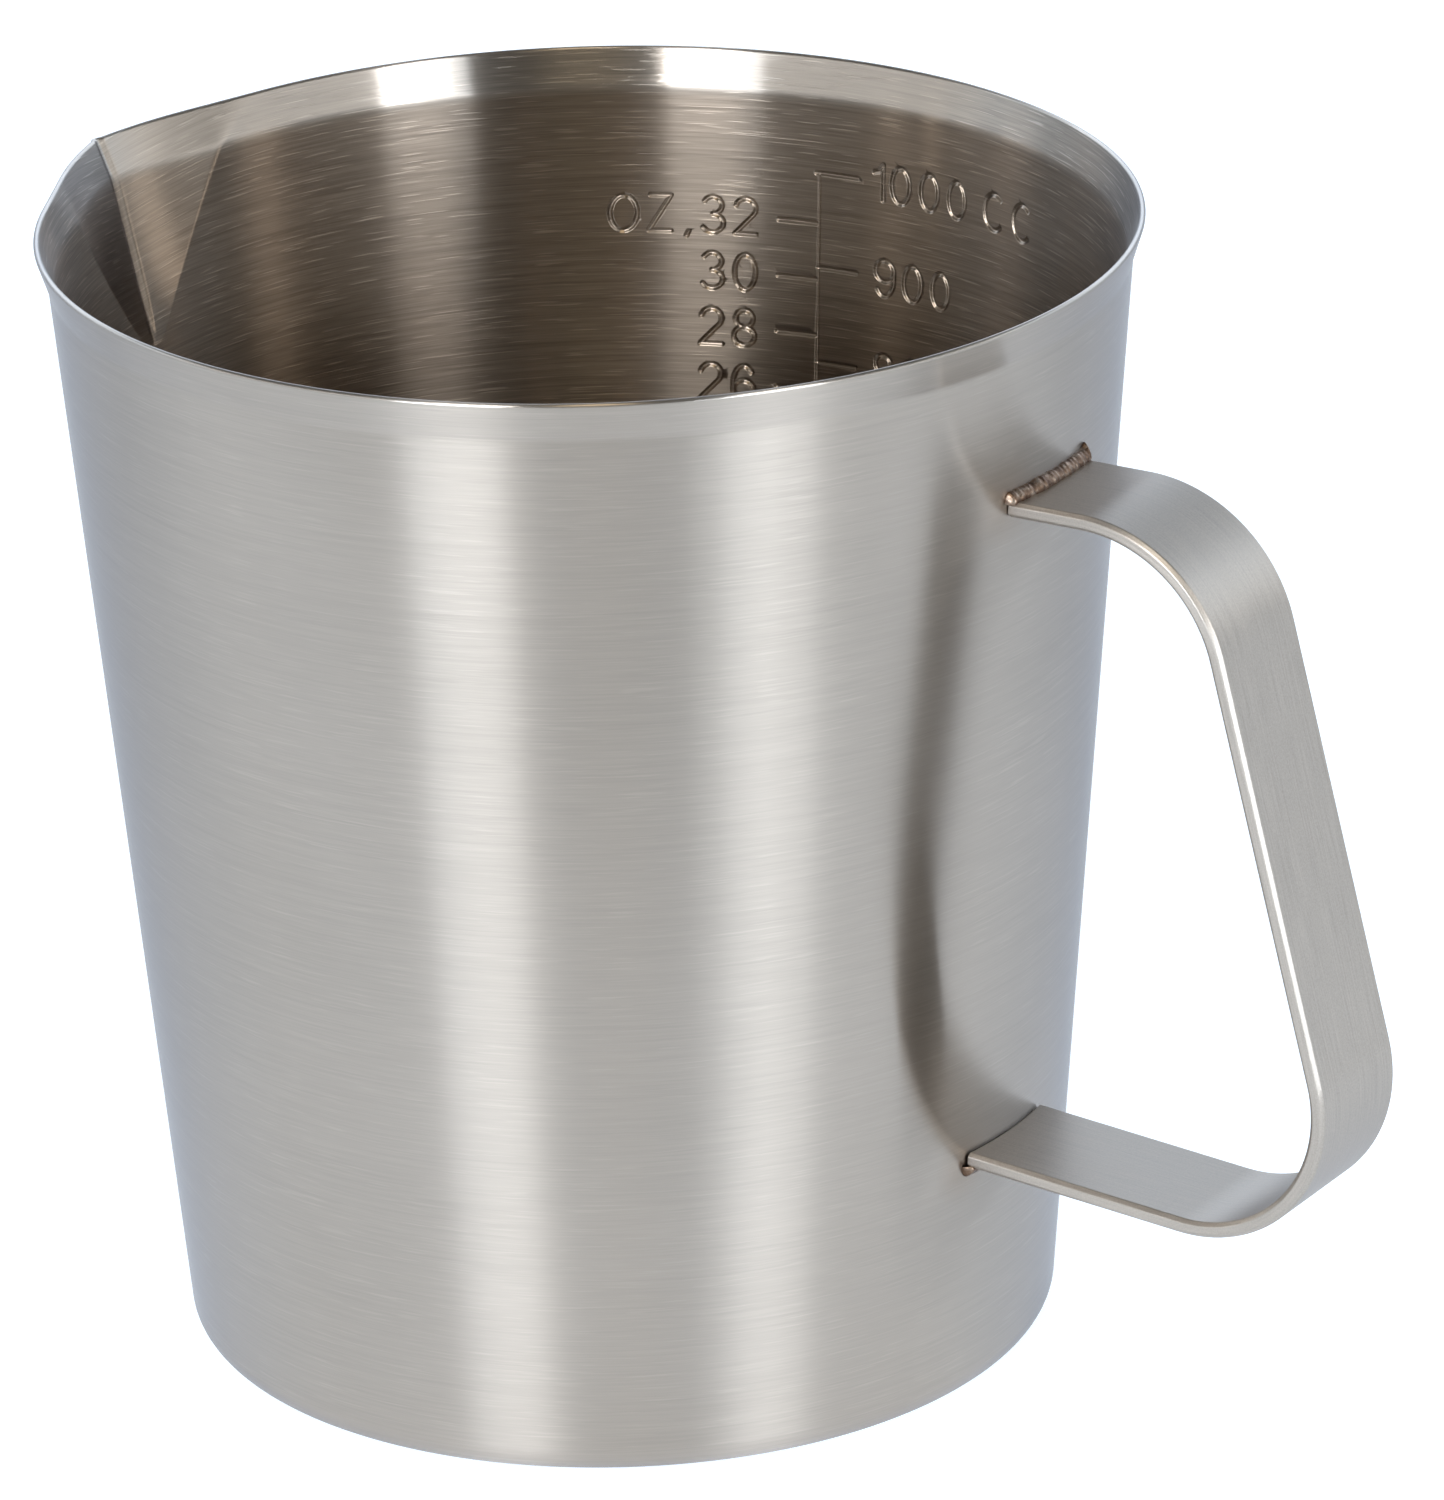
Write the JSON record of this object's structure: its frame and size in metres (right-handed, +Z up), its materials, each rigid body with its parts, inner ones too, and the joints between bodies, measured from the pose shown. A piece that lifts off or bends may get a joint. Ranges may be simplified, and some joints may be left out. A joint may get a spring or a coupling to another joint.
{
  "type": "stainless mixing jug",
  "caption": "Tapered stainless steel mixing jug with a flared rim, a pressed V pouring spout and a flat strap handle welded to the wall nearly opposite the spout.",
  "frame": {"origin": "centre of the base's flat underside, on the cup's own axis", "axes": "+Z up along the cup's axis, +X towards the handle; the pouring spout is 3 degrees anticlockwise of -X"},
  "size_m": [0.1597, 0.1214, 0.129],
  "materials": {
    "cup_steel": "fine horizontal brush lines, satin",
    "strap_steel": "satin, brushed along the strap",
    "weld_metal": "as welded, brown heat tint"
  },
  "bodies": {
    "root": {"cup_shell": "cup_steel", "handle_strap": "strap_steel", "upper_weld_bead": "weld_metal", "lower_weld_bead": "weld_metal"}
  },
  "joints": []
}
